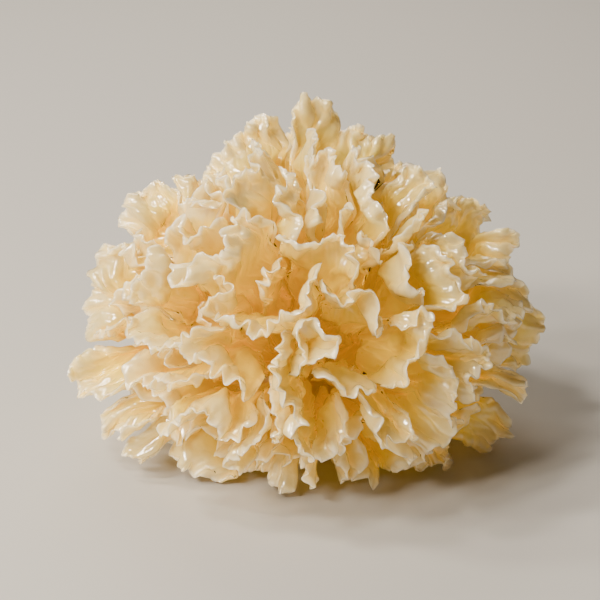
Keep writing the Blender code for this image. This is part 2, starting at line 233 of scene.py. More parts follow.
# Rims near the surface that the fungus rests on: picture x and y, and the height in millimetres.
SKIRT_RIMS = {
    "skirt_left": [
        (181, 443, 6.5), (173, 453, 5.0), (170, 461, 3.8), (175, 470, 2.8), (185, 474, 2.2),
        (193, 480, 1.2), (203, 479, 1.6), (211, 480, 1.2), (219, 481, 1.2), (226, 474, 2.6),
    ],
    "skirt_far_left": [
        (117, 446, 9.0), (119, 453, 7.5), (126, 459, 5.5), (135, 459, 5.0), (144, 457, 4.0),
        (154, 457, 4.0),
    ],
    "skirt_front": [
        (238, 470, 3.4), (245, 473, 2.6), (252, 469, 3.6), (258, 466, 4.2), (265, 471, 3.2),
        (268, 481, 2.0), (277, 486, 1.6), (284, 492, 1.2), (294, 494, 1.2), (301, 487, 2.2),
    ],
    "skirt_right": [
        (336, 464, 4.0), (340, 473, 2.4), (348, 479, 1.2), (357, 475, 2.0), (365, 476, 1.8),
        (373, 479, 1.2), (379, 472, 2.4), (387, 468, 3.2), (399, 462, 4.2), (406, 467, 3.0),
        (415, 470, 2.4), (425, 473, 1.6), (433, 467, 2.6), (441, 463, 3.4), (450, 456, 4.4),
        (459, 451, 5.2),
    ],
}

# Rims behind: their row's latitude on the dome, the bearings where they start and end, and their points.
# A bearing is 0 at the front, 90 at the right and 180 behind.
BACK_RIMS = {
    "back_skirt_right": (-36, 100, 176, 23),
    "back_skirt_left": (-36, 184, 260, 23),
    "back_low_right": (-22, 104, 176, 22),
    "back_low_left": (-22, 184, 260, 23),
    "back_middle_right": (-7, 112, 148, 13),
    "back_middle": (-7, 156, 204, 15),
    "back_middle_left": (-7, 212, 262, 17),
    "back_high_right": (9, 99, 168, 22),
    "back_high_left": (9, 178, 249, 21),
    "back_upper_right": (25, 106, 178, 21),
    "back_upper_left": (25, 188, 248, 17),
    "back_crown_right": (42, 132, 174, 14),
    "back_crown_left": (42, 184, 222, 13),
    "back_crown": (60, 136, 226, 17),
}

# Rims between the large ones, with no solid of their own: how far they stand out, then picture x and y.
BETWEEN_RIMS = {
    "top_frill": (1.03, [(303, 124), (311, 128), (315, 138), (311, 148)]),
    "upper_right_lip": (1.02, [(430, 202), (425, 213), (416, 220), (405, 223), (395, 221)]),
    "upper_middle_curl": (0.97, [(343, 222), (346, 213), (350, 205), (349, 195)]),
    "flap_left": (0.98, [
        (203, 272), (214, 274), (224, 281), (229, 289), (220, 297), (208, 300), (199, 309), (198, 314),
    ]),
    "inner_left": (0.99, [(279, 252), (276, 263), (268, 273), (260, 285), (256, 297)]),
    "crown_side": (1.00, [(214, 166), (221, 173), (225, 184), (224, 196), (226, 208)]),
    "skirt_fold": (1.01, [
        (253, 464), (246, 471), (235, 469), (229, 460), (236, 455), (247, 449), (258, 441), (262, 430),
        (258, 418),
    ]),
    "lower_middle": (1.02, [(255, 403), (262, 404), (271, 415), (278, 424), (276, 437), (267, 446)]),
}


class Kind(Enum):
    """Where a rim is on the head."""

    OUTLINE = "outline"
    FRONT = "front"
    SKIRT = "skirt"
    BACK = "back"
    BETWEEN = "between"
    FRILL = "frill"


@dataclass(frozen=True)
class Dome:
    """The ellipsoid that the rims lie on, and the way the fronds leave the base and sag."""

    half_width: float = 51.7 * MM
    half_height: float = 42.5 * MM
    centre_height: float = 30.0 * MM
    spread_height: float = 12.0 * MM
    sag: float = 9.0 * MM
    sag_reach: float = 50.0 * MM
    root_radius: float = 17.75 * MM
    clearance: float = 0.45 * MM
    nearest: float = 5.0 * MM
    farthest: float = 90.0 * MM
    halvings: int = 30

    def sagged(self, points: np.ndarray, amount: float = 1.0) -> np.ndarray:
        """Lowers points as the fronds sag.

        Args:
            points: places before the sag, one a row.
            amount: 1 lowers them, and minus 1 raises them again.

        Returns:
            The places after it.
        """
        lowered = np.array(points, dtype=float)
        out = np.hypot(lowered[..., 0], lowered[..., 1]) / self.sag_reach
        lowered[..., 2] -= amount * self.sag * out ** 2
        return lowered

    def reach(self, places: np.ndarray) -> np.ndarray:
        """Gives the vectors from the spread point to real places, as they were before the sag."""
        return self.sagged(places, -1.0) - np.array((0.0, 0.0, self.spread_height))

    def place(self, vectors: np.ndarray) -> np.ndarray:
        """Gives the real places of vectors from the spread point, after the sag."""
        return self.sagged(np.array((0.0, 0.0, self.spread_height)) + vectors)

    def surface_length(self, directions: np.ndarray, lift: float = 1.0) -> np.ndarray:
        """Finds how far the dome is along each direction.

        Args:
            directions: unit vectors from the spread point.
            lift: how far out of the dome the wanted surface is, as a share of its size.

        Returns:
            The distances from the spread point.
        """
        near = np.full(len(directions), self.nearest)
        far = np.full(len(directions), self.farthest)
        centre = np.array((0.0, 0.0, self.centre_height))
        radii = np.array((self.half_width, self.half_width, self.half_height))
        for _ in range(self.halvings):
            middle = (near + far) / 2
            places = self.place(directions * middle[:, None])
            outside = np.linalg.norm((places - centre) / radii, axis=-1) > lift
            far = np.where(outside, middle, far)
            near = np.where(outside, near, middle)
        return near


def unit(vectors: np.ndarray) -> np.ndarray:
    """The vectors, each divided by its length."""
    return vectors / np.linalg.norm(vectors, axis=-1)[..., None]


@dataclass(frozen=True)
class Swell:
    """A smooth random field: a few sine waves that cross one another."""

    wavelength: float
    seed: int
    waves: int = 7
    shortest: float = 0.8
    longest: float = 1.3

    def values(self, places: np.ndarray) -> np.ndarray:
        """Reads the field.

        Args:
            places: places or directions, one a row.

        Returns:
            Three numbers between about minus 1 and 1 at each.
        """
        rng = np.random.default_rng(self.seed)
        total = np.zeros(places.shape)
        for _ in range(self.waves):
            directed = unit(rng.normal(size=3))
            length = self.wavelength * rng.uniform(self.shortest, self.longest)
            pull = directed * 2.0 * math.pi / length
            way = unit(rng.normal(size=3))
            total += way * np.sin(places @ pull + rng.uniform(0.0, 2.0 * math.pi))[..., None]
        return total / math.sqrt(self.waves / 3.0)


@dataclass(frozen=True)
class Drape:
    """How the fronds lean over near the dome, and crumple on the way: one field that moves them all alike."""

    dome: Dome
    heart: tuple[float, float, float] = (-0.02, -0.67, 0.74)
    down: float = 8.0 * MM
    wander: float = 2.2 * MM
    onset: float = 4.0 * MM
    softness: float = 2.4 * MM
    tuck: float = 3.4 * MM
    tuck_depth: float = 11.0 * MM
    tuck_reach: float = 4.0 * MM
    crumple: float = 1.1 * MM
    crease: float = 0.58 * MM
    pucker: float = 0.32 * MM
    root_fade: float = 12.0 * MM
    leans: Swell = Swell(24.0 * MM, 3)
    tucks: Swell = Swell(23.0 * MM, 6)
    crumples: Swell = Swell(14.0 * MM, 4)
    creases: Swell = Swell(6.5 * MM, 5)
    puckers: Swell = Swell(2.6 * MM, 9, waves=12)
    rounds: int = 12
    caution: float = 0.4

    def outward(self, directions: np.ndarray) -> np.ndarray:
        """The way along the dome that leads away from the heart of the head, shorter near it."""
        heart = np.array(self.heart)
        return directions * (directions @ heart)[..., None] - heart

    def shift(self, vectors: np.ndarray, surface: np.ndarray) -> np.ndarray:
        """How far the field moves places.

        Args:
            vectors: places, from the spread point.
            surface: how far the dome is in each one's direction.

        Returns:
            The moves.
        """
        lengths = np.linalg.norm(vectors, axis=-1)
        directions = vectors / lengths[..., None]
        depth = surface - lengths
        outward = self.outward(directions)
        sideways = np.cross(directions, np.array(self.heart))
        leans = self.leans.values(directions * self.dome.half_height)
        share = 1.0 / (1.0 + np.exp((depth - self.onset) / self.softness))
        move = outward * (self.down + self.wander * leans[..., :1]) + sideways * self.wander * leans[..., 1:2]
        move *= share[..., None]
        tucks = self.tucks.values(directions * self.dome.half_height)
        band = np.exp(-((depth - self.tuck_depth) / self.tuck_reach) ** 2)[..., None]
        move += self.tuck * band * (outward * tucks[..., :1] + sideways * tucks[..., 1:2])
        fade = np.clip((lengths - self.dome.root_radius) / self.root_fade, 0.0, 1.0)[..., None]
        move += self.crumple * fade * self.crumples.values(vectors)
        move += self.crease * fade * self.creases.values(vectors)
        move += self.pucker * fade * self.puckers.values(vectors)
        return move

    def undraped(self, vectors: np.ndarray) -> np.ndarray:
        """Finds the places that the field moves to the wanted ones.

        Args:
            vectors: the wanted places, from the spread point.

        Returns:
            The places to start from.
        """
        start = vectors.copy()
        for _ in range(self.rounds):
            surface = self.dome.surface_length(unit(start))
            moved_back = vectors - self.shift(start, surface)
            start = self.caution * start + (1.0 - self.caution) * moved_back
        return start


@dataclass(frozen=True)
class FrontView:
    """The view in which the front rims are drawn, and from which the camera looks."""

    dome: Dome
    unit: float = 0.230 * MM
    distance: float = 500.0 * MM
    elevation: float = math.radians(20.0)
    picture_size: float = 600.0
    centre_seen_at: tuple[float, float] = (306.0, 315.0)

    @property
    def right(self) -> np.ndarray:
        """The picture's right, in the model."""
        return np.array((1.0, 0.0, 0.0))

    @property
    def up(self) -> np.ndarray:
        """The picture's up, in the model."""
        return np.array((0.0, math.sin(self.elevation), math.cos(self.elevation)))

    @property
    def ahead(self) -> np.ndarray:
        """The way the camera looks."""
        return np.array((0.0, math.cos(self.elevation), -math.sin(self.elevation)))

    @property
    def target(self) -> np.ndarray:
        """The place in the model at the picture's middle.

        Returns:
            The place, which the camera points at.
        """
        half = self.picture_size / 2
        across, down = self.centre_seen_at
        centre = np.array((0.0, 0.0, self.dome.centre_height))
        return centre + self.unit * ((half - across) * self.right + (down - half) * self.up)

    @property
    def eye(self) -> np.ndarray:
        """Where the camera stands."""
        return self.target - self.distance * self.ahead

    def way(self, x: float, y: float) -> np.ndarray:
        """The line of sight through a place in the picture, as far as the dome's centre plane.

        Args:
            x: picture units from the left.
            y: picture units from the top.

        Returns:
            The vector from the eye.
        """
        half = self.picture_size / 2
        seen = self.target + self.unit * ((x - half) * self.right + (half - y) * self.up)
        return seen - self.eye

    def outline_point(self, x: float, y: float, nearer_mm: float) -> np.ndarray:
        """A place so many millimetres nearer than the dome's centre plane.

        Args:
            x: picture units from the left.
            y: picture units from the top.
            nearer_mm: how much nearer, in millimetres.

        Returns:
            The place.
        """
        return self.eye + self.way(x, y) * (1.0 - nearer_mm * MM / self.distance)

    def front_point(self, x: float, y: float, lift: float) -> np.ndarray:
        """Where the line of sight meets the dome, or passes nearest to its centre.

        Args:
            x: picture units from the left.
            y: picture units from the top.
            lift: how far out of the dome, as a share of its size.

        Returns:
            The place.
        """
        dome = self.dome
        radii = lift * np.array((dome.half_width, dome.half_width, dome.half_height))
        start = (self.eye - np.array((0.0, 0.0, dome.centre_height))) / radii
        way = self.way(x, y)
        slope = way / radii
        nearest = -start.dot(slope) / slope.dot(slope)
        inside = nearest ** 2 - (start.dot(start) - 1.0) / slope.dot(slope)
        return self.eye + way * (nearest - math.sqrt(max(inside, 0.0)))

    def skirt_point(self, x: float, y: float, height_mm: float) -> np.ndarray:
        """Where the line of sight is at a height over the surface that the fungus rests on.

        Args:
            x: picture units from the left.
            y: picture units from the top.
            height_mm: the height, in millimetres.

        Returns:
            The place.
        """
        way = self.way(x, y)
        return self.eye + way * ((height_mm * MM - self.eye[2]) / way[2])


@dataclass(frozen=True)
class BackRows:
    """The rows of rims behind, which wander up and down together."""

    dome: Dome
    wander: float = 3.0
    wanders_round: float = 13.0
    wander_shift: float = 14.0
    drift: float = 4.0
    drifts_round: float = 3.0
    drift_shift: float = 9.0
    crisp: float = 0.6

    def rim(self, row: float, first: float, last: float, count: int) -> np.ndarray:
        """Gives one rim's waypoints.

        Args:
            row: the latitude that the rim wanders about, in degrees.
            first: the bearing where it starts, in degrees.
            last: the bearing where it ends.
            count: how many waypoints it has.

        Returns:
            The waypoints, one a row.
        """
        turn = np.radians(np.linspace(first, last, count))
        crisp = self.crisp * (-1.0) ** np.arange(count)
        narrowing = math.cos(math.radians(row))
        wave = self.wander * narrowing * np.sin(self.wanders_round * turn + row / self.wander_shift)
        latitude = np.radians(row + wave + crisp)
        turn = turn + math.radians(self.drift) * np.sin(self.drifts_round * turn + row / self.drift_shift)
        return np.stack((
            self.dome.half_width * np.cos(latitude) * np.sin(turn),
            -self.dome.half_width * np.cos(latitude) * np.cos(turn),
            self.dome.centre_height + self.dome.half_height * np.sin(latitude),
        ), axis=-1)


def smooth_line(points: np.ndarray, step: float, fineness: int = 24) -> np.ndarray:
    """Draws a smooth line through waypoints and reads it at even steps.

    Args:
        points: the waypoints, one a row.
        step: the wanted distance between the points read.
        fineness: how many points of the curve are worked out for each waypoint.

    Returns:
        The points of the line, the first and last waypoints included.
    """
    gaps = np.sqrt(np.linalg.norm(np.diff(points, axis=0), axis=1))
    knots = np.concatenate(([0.0], np.cumsum(gaps)))
    slopes = np.gradient(points, knots, axis=0)
    fine = np.linspace(0.0, knots[-1], fineness * len(points))
    cell = np.clip(np.searchsorted(knots, fine, side="right") - 1, 0, len(points) - 2)
    width = (knots[cell + 1] - knots[cell])[:, None]
    t = (fine - knots[cell])[:, None] / width
    line = (
        (2 * t ** 3 - 3 * t ** 2 + 1) * points[cell]
        + (t ** 3 - 2 * t ** 2 + t) * width * slopes[cell]
        + (3 * t ** 2 - 2 * t ** 3) * points[cell + 1]
        + (t ** 3 - t ** 2) * width * slopes[cell + 1]
    )
    return evenly(line, step)


def evenly(line: np.ndarray, step: float, fewest: int = 4) -> np.ndarray:
    """Reads a line at even steps.

    Args:
        line: its points, one a row.
        step: the wanted distance between the points read.
        fewest: the least number of points read.

    Returns:
        The points read.
    """
    along = np.concatenate(([0.0], np.cumsum(np.linalg.norm(np.diff(line, axis=0), axis=1))))
    count = max(fewest, int(round(along[-1] / step)) + 1)
    wanted = np.linspace(0.0, along[-1], count)
    return np.stack([np.interp(wanted, along, line[:, axis]) for axis in range(3)], axis=-1)


def wandering(along: np.ndarray, spacing: float, rng: np.random.Generator) -> np.ndarray:
    """A smooth random value between about minus 1 and 1 along a line.

    Args:
        along: distances along the line.
        spacing: the distance between independent values.
        rng: the source of the values.

    Returns:
        One value for each distance.
    """
    knots = rng.uniform(-1.0, 1.0, int(along[-1] / spacing) + 4)
    position = along / spacing + rng.uniform(0.0, 1.0)
    cell = position.astype(int)
    share = position - cell
    share = share * share * (3.0 - 2.0 * share)
    return knots[cell] * (1.0 - share) + knots[cell + 1] * share


def softened(values: np.ndarray, reach: int) -> np.ndarray:
    """Averages each row with its neighbours along the first axis.

    Args:
        values: the rows.
        reach: how many neighbours on each side count.

    Returns:
        The averaged rows.
    """
    if reach < 1:
        return values
    padded = np.concatenate([values[:1]] * reach + [values] + [values[-1:]] * reach)
    return sum(padded[i:i + len(values)] for i in range(2 * reach + 1)) / (2 * reach + 1)


def unwound(line: np.ndarray, spread: float, tails: float = 2.6) -> np.ndarray:
    """Smooths the windings of an evenly read line, and keeps its ends where they are.

    Args:
        line: its points, one a row.
        spread: the width of the smoothing along the line, in points.
        tails: how many such widths count on each side.

    Returns:
        The smoothed points.
    """
    reach = min(int(math.ceil(tails * spread)), len(line) - 1)
    if reach < 1:
        return line
    weights = np.exp(-0.5 * (np.arange(-reach, reach + 1) / spread) ** 2)
    weights /= weights.sum()
    before = 2.0 * line[0] - line[reach:0:-1]
    after = 2.0 * line[-1] - line[-2:-reach - 2:-1]
    padded = np.concatenate((before, line, after))
    return np.stack([np.convolve(padded[:, axis], weights, mode="valid") for axis in range(3)], axis=-1)


@dataclass
class Rim:
    """A frond's upper edge before it drapes: vectors from the spread point, and the room on both sides."""

    name: str
    kind: Kind
    line: np.ndarray
    room: np.ndarray = field(default_factory=lambda: np.zeros(0))

    @property
    def along(self) -> np.ndarray:
        """The distance of each point from the rim's start."""
        return np.concatenate(([0.0], np.cumsum(np.linalg.norm(np.diff(self.line, axis=0), axis=1))))


@dataclass
class Crowding:
    """Says how far it is from a direction to the nearest rim, in millimetres at the dome."""

    scale: float = 46.0 * MM
    own_reach: float = 5.0 * MM
    softening: int = 3

    def tree(self, directions: np.ndarray) -> kdtree.KDTree:
        """Makes a search tree.

        Args:
            directions: the unit vectors that it holds.

        Returns:
            The tree, at the size of the dome.
        """
        tree = kdtree.KDTree(len(directions))
        for index, direction in enumerate(directions):
            tree.insert(direction * self.scale, index)
        tree.balance()
        return tree

    def give_room(self, rims: list[Rim], most: float) -> None:
        """Sets each rim's room: how far it is to another rim, or to another stretch of its own.

        Args:
            rims: the rims to set.
            most: the most room that counts.
        """
        directions = [unit(rim.line) for rim in rims]
        owner = np.concatenate([np.full(len(rim.line), number) for number, rim in enumerate(rims)])
        along = np.concatenate([rim.along for rim in rims])
        tree = self.tree(np.concatenate(directions))
        for number, rim in enumerate(rims):
            room = np.full(len(rim.line), most)
            for place, direction in enumerate(directions[number]):
                for _, index, distance in tree.find_range(direction * self.scale, most):
                    same = owner[index] == number
                    if same and abs(along[index] - rim.along[place]) < self.own_reach:
                        continue
                    room[place] = min(room[place], distance)
            rim.room = softened(room, self.softening)


@dataclass
class FrillGrower:
    """Grows small rims in the room that the others leave."""

    dome: Dome
    crowding: Crowding
    seed: int
    starts: int
    least_room: float
    lift: float
    longest: float = 26.0 * MM
    shortest: float = 8.0 * MM
    step: float = 0.8 * MM
    lowest_height: float = 2.2 * MM
    start_band: float = 1.25
    start_room: float = 1.35
    winding: float = 1.5 * MM
    winding_turn: float = 0.34
    paces: tuple[float, float] = (0.75, 1.25)
    widest_turn: float = 0.75
    turns_tried: int = 11
    room_seen: float = 4.5 * MM
    room_wanted: float = 3.2 * MM
    steadiness: float = 1.6
    fresh_points: int = 5
    lift_stray: float = 0.05
    short_path: int = 7
    rim_step: float = 0.5 * MM

    def start_directions(self) -> np.ndarray:
        """Spreads directions evenly over the dome.

        Returns:
            The directions, in a shuffled order.
        """
        index = np.arange(self.starts) + 0.5
        height = 1.0 - self.start_band * index / self.starts
        turn = math.pi * (1.0 + math.sqrt(5.0)) * index
        flat = np.sqrt(np.maximum(1.0 - height ** 2, 0.0))
        directions = np.stack((flat * np.cos(turn), flat * np.sin(turn), height), axis=-1)
        np.random.default_rng(self.seed).shuffle(directions)
        return directions

    def walk(self, start: np.ndarray, heading: np.ndarray, tree: kdtree.KDTree,
             rng: np.random.Generator, taken: list[np.ndarray]) -> list[np.ndarray]:
        """Walks one way from a start, winding, and keeping clear of what is there.

        Args:
            start: the direction it starts at.
            heading: the way it sets off.
            tree: the rims that are there already.
            rng: the source of its whims.
            taken: its own earlier points.

        Returns:
            The directions that it passed.
        """
        scale = self.crowding.scale
        here = start
        path: list[np.ndarray] = []
        whim = rng.uniform(0.0, 2.0 * math.pi)
        pace = rng.uniform(*self.paces)
        while len(path) * self.step < self.longest / 2:
            whim += pace * self.step / self.winding
            wanted = self.winding_turn * math.sin(whim)
            best = None
            for turn in np.linspace(-self.widest_turn, self.widest_turn, self.turns_tried):
                side = np.cross(here, heading)
                ahead = heading * math.cos(turn) + side * math.sin(turn)
                there = here * scale + ahead * self.step
                there = there / np.linalg.norm(there)
                room = min(tree.find(there * scale)[2], self.room_seen)
                old = taken + path[:-self.fresh_points]
                if old:
                    apart = np.linalg.norm(np.array(old) - there, axis=1).min() * scale
                    room = min(room, apart)
                score = min(room, self.room_wanted) / MM - self.steadiness * abs(turn - wanted)
                if best is None or score > best[0]:
                    best = (score, room, there, ahead)
            _, room, there, ahead = best
            if room < self.least_room:
                break
            heading = ahead - there * ahead.dot(there)
            heading /= np.linalg.norm(heading)
            here = there
            path.append(there)
        return path

    def grow(self, rims: list[Rim], prefix: str) -> list[Rim]:
        """Grows the small rims.

        Args:
            rims: the rims that are there already, which stay clear.
            prefix: the start of the small rims' names.

        Returns:
            The small rims.
        """
        taken = np.concatenate([unit(rim.line) for rim in rims])
        rng = np.random.default_rng(self.seed)
        small: list[Rim] = []
        tree = self.crowding.tree(taken)
        for start in self.start_directions():
            if tree.find(start * self.crowding.scale)[2] < self.start_room * self.least_room:
                continue
            heading = np.cross(start, rng.normal(size=3))
            heading /= np.linalg.norm(heading)
            forth = self.walk(start, heading, tree, rng, [])
            back = self.walk(start, -heading, tree, rng, forth[3:])
            path = np.array(back[::-1] + [start] + forth)
            if len(path) * self.step < self.shortest:
                continue
            lift = self.lift + rng.uniform(-self.lift_stray, self.lift_stray)
            line = path * self.dome.surface_length(path, lift)[:, None]
            if self.dome.place(line)[:, 2].min() < self.lowest_height:
                continue
            line = smooth_line(line[::2] if len(line) > self.short_path else line, self.rim_step)
            small.append(Rim(f"{prefix}_{len(small) + 1:03d}", Kind.FRILL, line))
            taken = np.concatenate((taken, path))
            tree = self.crowding.tree(taken)
        return small


@dataclass(frozen=True)
class Ruffle:
    """The waves of a sheet: how wide, how long and how deep they are, and their share of the room."""

    swing: float
    length: float
    depth: float
    room_share: float


MEANDERS = {
    Kind.OUTLINE: Ruffle(0.5 * MM, 9.0 * MM, 7.0 * MM, 0.25),
    Kind.FRONT: Ruffle(0.4 * MM, 9.0 * MM, 7.0 * MM, 0.25),
    Kind.SKIRT: Ruffle(0.7 * MM, 8.0 * MM, 7.0 * MM, 0.25),
    Kind.BACK: Ruffle(1.7 * MM, 10.0 * MM, 8.0 * MM, 0.34),
    Kind.BETWEEN: Ruffle(0.4 * MM, 9.0 * MM, 7.0 * MM, 0.25),
    Kind.FRILL: Ruffle(1.5 * MM, 8.0 * MM, 7.0 * MM, 0.32),
}


@dataclass(frozen=True)
class Whim:
    """A value that strays about its mean along a rim, over a given distance or number of wavelengths."""

    mean: float
    stray: float
    spacing: float

    def values(self, along: np.ndarray, rng: np.random.Generator, length: float = 1.0) -> np.ndarray:
        """Reads it at distances along a rim, with its spacing in units of a length."""
        return self.mean + self.stray * wandering(along, self.spacing * length, rng)


@dataclass
class Sheet:
    """A thin sheet from the base to a rim, ruffled and curled over at the rim."""

    dome: Dome
    drape: Drape
    rim: Rim
    rows: int = 22
    root_share: float = 0.0
    thickness: float = 0.70 * MM
    edge_wall: float = 0.62
    root_wall: float = 0.6
    edge_fade: float = 2.0 * MM
    edge_depth: float = 0.30 * MM
    edge_roundness: float = 0.85
    fold_share: float = 0.7
    thinnest: float = 0.12
    row_evenness: float = 0.14
    row_power: float = 2.4
    chart_depth: float = 10.0 * MM
    seed: int = 1
    ruffles: tuple[Ruffle, ...] = (
        Ruffle(1.1 * MM, 4.2 * MM, 3.8 * MM, 0.30),
        Ruffle(0.50 * MM, 2.5 * MM, 2.4 * MM, 0.16),
        Ruffle(0.28 * MM, 1.6 * MM, 1.4 * MM, 0.10),
    )
    curl: float = 3.2 * MM
    curl_depth: float = 2.6 * MM
    curl_root: float = 12.0 * MM
    curl_room: float = 0.5
    curl_turn: float = 2.4
    crease: float = 0.10 * MM
    crease_spacing: float = 1.1 * MM
    crease_bands: tuple[tuple[float, float], ...] = (
        (1.5 * MM, 1.6 * MM), (4.5 * MM, 2.6 * MM), (9.5 * MM, 4.0 * MM), (17.0 * MM, 6.0 * MM),
    )
    unwind_from: float = 1.5 * MM
    unwind_rate: float = 0.5
    unwind_most: float = 7.0 * MM
    lobes: tuple[tuple[float, float], ...] = ((0.42 * MM, 4.4 * MM), (0.15 * MM, 1.9 * MM))
    lobe_mean: float = 0.64
    corner: float = 4.5 * MM
    corner_share: float = 0.3
    corner_drop: float = 9.0 * MM
    root_grip: float = 4.0 * MM
    # How much higher a rim that stands inside the dome is counted, so that the painted shade darkens it less.
    rim_credit: float = 0.6
    turn: float = 6.28
    pace: Whim = Whim(1.0, 0.45, 1.7)
    swell: Whim = Whim(0.75, 0.6, 1.5)
    lag: Whim = Whim(0.0, 0.9, 2.5)
    height: Whim = Whim(0.0, 0.8 * MM, 6.0 * MM)
    lobe_pace: Whim = Whim(1.0, 0.4, 2.0)
    lobe_swell: Whim = Whim(0.7, 0.5, 1.5)
    curl_side: Whim = Whim(0.0, 0.8, 14.0 * MM)
    curl_swell: Whim = Whim(0.8, 0.35, 7.0 * MM)

    def row_depths(self, longest: float) -> np.ndarray:
        """How far each row of points is from the rim, closer together near the rim.

        Args:
            longest: the sheet's length from root to rim.

        Returns:
            The depths, from the root to the rim.
        """
        share = np.linspace(1.0, 0.0, self.rows)
        return longest * (self.row_evenness * share + (1.0 - self.row_evenness) * share ** self.row_power)

    def wave(self, ruffle: Ruffle, along: np.ndarray, depths: np.ndarray,
             rng: np.random.Generator) -> np.ndarray:
        """One ruffle's swing at every point of the sheet.

        Args:
            ruffle: its sizes.
            along: distances along the rim.
            depths: distances below the rim.
            rng: the source of its irregularity.

        Returns:
            The swing to the side, one row for each point of the rim.
        """
        pace = self.pace.values(along, rng, ruffle.length)
        phase = np.cumsum(np.gradient(along) * pace) * 2.0 * math.pi / ruffle.length
        phase = phase + rng.uniform(0.0, self.turn)
        swing = ruffle.swing * self.swell.values(along, rng, ruffle.length)
        swing = softened(np.minimum(swing, ruffle.room_share * self.rim.room), 2)
        lag = depths[None, :] / ruffle.depth * self.lag.values(along, rng, ruffle.length)[:, None]
        return swing[:, None] * np.sin(phase[:, None] + lag) * np.exp(-depths[None, :] / ruffle.depth)

    def scallops(self, along: np.ndarray, rng: np.random.Generator) -> np.ndarray:
        """How far the rounded lobes of the rim stand out, and how far its ends are rounded off.

        Args:
            along: distances along the rim.
            rng: the source of their irregularity.

        Returns:
            One length for each point of the rim.
        """
        total = self.height.values(along, rng)
        corner = min(self.corner, self.corner_share * along[-1])
        inside = np.clip(np.minimum(along, along[-1] - along) / corner, 0.0, 1.0)
        total -= self.corner_drop * (1.0 - np.sqrt(1.0 - (1.0 - inside) ** 2))
        for size, length in self.lobes:
            pace = self.lobe_pace.values(along, rng, length)
            phase = np.cumsum(np.gradient(along) * pace) * math.pi / length + rng.uniform(0.0, math.pi)
            lobe = np.abs(np.sin(phase)) - self.lobe_mean
            total += size * lobe * self.lobe_swell.values(along, rng, length)
        return total

    def wrinkles(self, along: np.ndarray, depths: np.ndarray, rng: np.random.Generator) -> np.ndarray:
        """Fine creases that run from root to rim, and change on the way.

        Args:
            along: distances along the rim.
            depths: distances below the rim.
            rng: the source of the creases.

        Returns:
            The swing to the side, one row for each point of the rim.
        """
        total = np.zeros((len(along), len(depths)))
        for middle, reach in self.crease_bands:
            weight = np.exp(-((depths - middle) / reach) ** 2)
            total += wandering(along, self.crease_spacing, rng)[:, None] * weight[None, :]
        return self.crease * total

    def shape(self) -> tuple[np.ndarray, np.ndarray, np.ndarray]:
        """Works out where every point of the sheet is.

        Returns:
            The places, as rows along the rim by columns from root to rim, how high each is on the head as a
            share, by which the flesh paints shade and glow, and the depths of the columns below the rim.
        """
        rng = np.random.default_rng(self.seed)
        along = self.rim.along
        lengths = np.linalg.norm(self.rim.line, axis=1)
        root = np.maximum(self.dome.root_radius, self.root_share * lengths)
        longest = (lengths - root).max()
        depths = self.row_depths(longest)
        spreads = np.clip((depths - self.unwind_from) * self.unwind_rate, 0.0, self.unwind_most)
        step = along[-1] / (len(along) - 1)
        lines = np.stack([unwound(self.rim.line, spread / step) for spread in spreads], axis=1)
        reaches = np.linalg.norm(lines, axis=-1)
        directions = lines / reaches[..., None]
        scallops = self.scallops(along, rng)
        share = 1.0 - depths / longest
        radius = root[:, None] + (reaches + scallops[:, None] - root[:, None]) * share[None, :]
        vectors = directions * radius[..., None]
        surface = self.dome.surface_length(directions.reshape(-1, 3)).reshape(radius.shape)
        vectors = vectors + self.drape.shift(vectors, surface)
        sides = np.cross(np.gradient(vectors, axis=0), np.gradient(vectors, axis=1))
        sides = unit(softened(unit(sides), 4))
        swing = self.wave(MEANDERS[self.rim.kind], along, depths, rng)
        for ruffle in self.ruffles:
            swing += self.wave(ruffle, along, depths, rng)
        swing += self.wrinkles(along, depths, rng)
        slope = np.sum(sides[:, -1] * self.drape.outward(directions[:, -1]), axis=-1)
        turn = np.tanh(self.curl_turn * slope + self.curl_side.values(along, rng))
        curl = np.minimum(self.curl, self.curl_room * self.rim.room) * self.curl_swell.values(along, rng)
        bend = np.exp(-depths / self.curl_depth) - np.exp(-depths / self.curl_root)
        swing += softened(curl * turn, 3)[:, None] * bend[None, :]
        swing *= np.clip((depths[0] - depths) / self.root_grip, 0.0, 1.0)
        places = self.dome.place(vectors + sides * swing[..., None])
        floor = self.dome.clearance
        low = places[..., 2] < 2.0 * floor
        lifted = floor + floor * np.exp(np.minimum(places[..., 2] / floor - 2.0, 0.0))
        places[..., 2] = np.where(low, lifted, places[..., 2])
        # Rims that stand inside the dome count as higher, so the painted shade darkens them less.
        shown = self.rim_credit * (1.0 - lengths / surface[:, -1])
        return places, radius / surface + shown[:, None], depths

